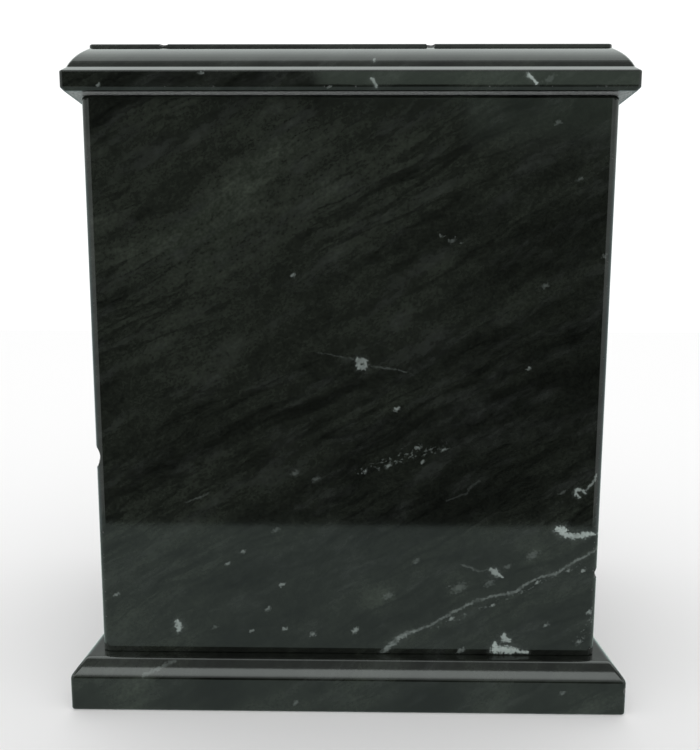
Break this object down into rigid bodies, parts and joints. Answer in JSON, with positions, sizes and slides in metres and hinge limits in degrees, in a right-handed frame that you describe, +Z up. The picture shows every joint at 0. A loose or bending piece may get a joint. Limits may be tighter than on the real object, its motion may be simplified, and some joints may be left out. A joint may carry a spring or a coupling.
{
  "type": "cremation urn",
  "caption": "Upright rectangular marble cremation urn: a hollow body with eased arrises on a moulded base slab, closed by a moulded lid that lifts off.",
  "frame": {"origin": "middle of the base's underside, where the urn stands", "axes": "+Z up, the front face looks along -Y, +X to the right as seen from the front"},
  "size_m": [0.2184, 0.1684, 0.2555],
  "materials": {
    "base_marble": "polished dark grey-green marble with pale streaks, sawn underneath",
    "body_marble": "polished near-black marble with white calcite veins and flecks, honed inside",
    "lid_marble": "polished near-black marble with white flecks, honed underneath"
  },
  "bodies": {
    "root": {"base": "base_marble", "body": "body_marble", "lid": "lid_marble"}
  },
  "joints": []
}
